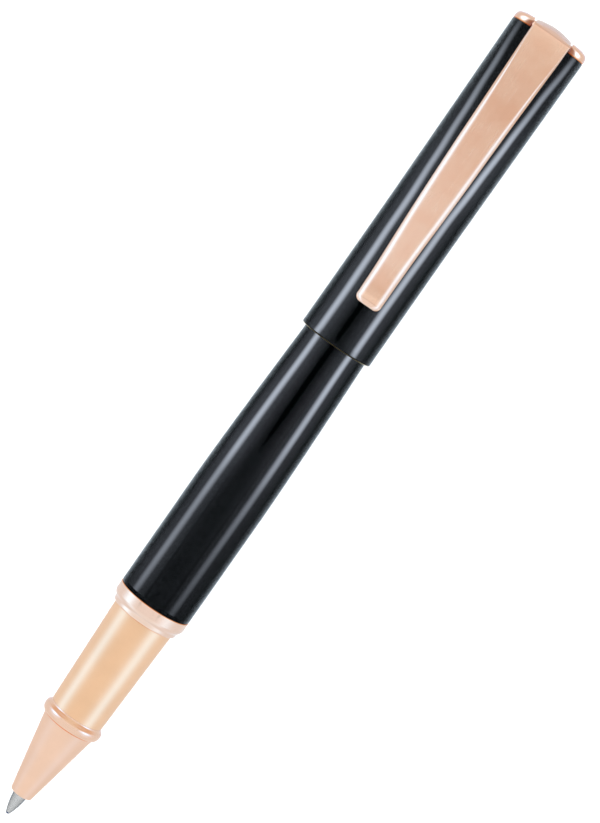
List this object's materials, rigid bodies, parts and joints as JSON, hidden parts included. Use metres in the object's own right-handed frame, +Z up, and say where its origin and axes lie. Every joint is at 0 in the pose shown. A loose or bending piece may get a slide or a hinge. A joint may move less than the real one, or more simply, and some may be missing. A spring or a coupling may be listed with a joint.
{
  "type": "rollerball pen",
  "caption": "Posted rollerball pen with black lacquered barrel and cap, rose-gold metal grip, rings and tapering clip, screw-in section and sprung refill.",
  "frame": {"origin": "on the surface the pen lies on, under the middle of its length and its axis", "axes": "+X along the pen from the writing tip towards the crown of the posted cap, +Z up through the clip, +Y to the pen's left when looking along +X"},
  "size_m": [0.15, 0.0128, 0.0153],
  "materials": {
    "black_lacquer": "high-gloss black lacquer over a brass tube",
    "rose_gold_satin": "rose-gold plating, fine satin",
    "rose_gold_polished": "rose-gold plating, polished",
    "steel_tip": "turned stainless steel",
    "carbide_ball": "polished hard ball",
    "spring_steel": "drawn spring wire",
    "screw_steel": "zinc-plated steel",
    "bare_brass": "turned bare brass",
    "black_plastic": "moulded black plastic",
    "clear_grey_plastic": "moulded natural plastic",
    "refill_metal": "drawn aluminium tube, satin",
    "ring_rubber": "matt black rubber",
    "ink_fibre": "bonded fibre soaked with dark ink",
    "feed_fibre": "bonded fibre rod"
  },
  "bodies": {
    "barrel": {"barrel_shell": "black_lacquer", "barrel_thread_insert": "bare_brass", "tail_plug": "rose_gold_polished", "spring_cup": "clear_grey_plastic", "refill_spring": "spring_steel"},
    "thread_carrier": {"section_o_ring": "ring_rubber"},
    "section": {"nose_cone": "rose_gold_satin", "bead_ring": "rose_gold_polished", "grip_sleeve": "rose_gold_satin", "trim_ring": "rose_gold_polished", "section_coupler": "bare_brass"},
    "refill": {"refill_tip": "steel_tip", "refill_holder": "black_plastic", "refill_tube": "refill_metal", "ink_reservoir": "ink_fibre", "feed_rod": "feed_fibre", "refill_plug": "black_plastic"},
    "ball": {"writing_ball": "carbide_ball"},
    "cap": {"cap_shell": "black_lacquer", "cap_liner": "black_plastic", "cap_crown": "rose_gold_polished", "crown_screw": "screw_steel", "screw_washer": "screw_steel", "clip_root": "rose_gold_satin"},
    "clip": {"clip": "rose_gold_satin"}
  },
  "joints": [
    {"name": "cap_pull", "type": "slide", "parent": "barrel", "child": "cap", "axis": [1, 0, 0], "range_m": [0, 0.034]},
    {"name": "clip_flex", "type": "hinge", "parent": "cap", "child": "clip", "pos_m": [0.07255, 0, 0.014], "axis": [0, 1, 0], "range_deg": [0, 5], "stiffness_Nm_per_rad": 1, "springref_deg": -1.15},
    {"name": "section_turn", "type": "hinge", "parent": "thread_carrier", "child": "section", "pos_m": [-0.032, 0, 0.00645], "axis": [-1, 0, 0], "range_deg": [0, 1801]},
    {"name": "section_advance", "type": "slide", "parent": "barrel", "child": "thread_carrier", "axis": [-1, 0, 0], "range_m": [0, 0.00375]},
    {"name": "refill_push", "type": "slide", "parent": "section", "child": "refill", "axis": [1, 0, 0], "range_m": [0, 0.0012], "stiffness_N_per_m": 400, "springref_m": -0.004, "deforming": ["refill_spring"]},
    {"name": "ball_roll", "type": "hinge", "parent": "refill", "child": "ball", "pos_m": [-0.07465, 0, 0.00645], "axis": [0, 1, 0], "continuous": true}
  ],
  "couplings": [
    {"joint": "section_turn", "follows": "section_advance", "rad_per_m": 8377.6}
  ]
}
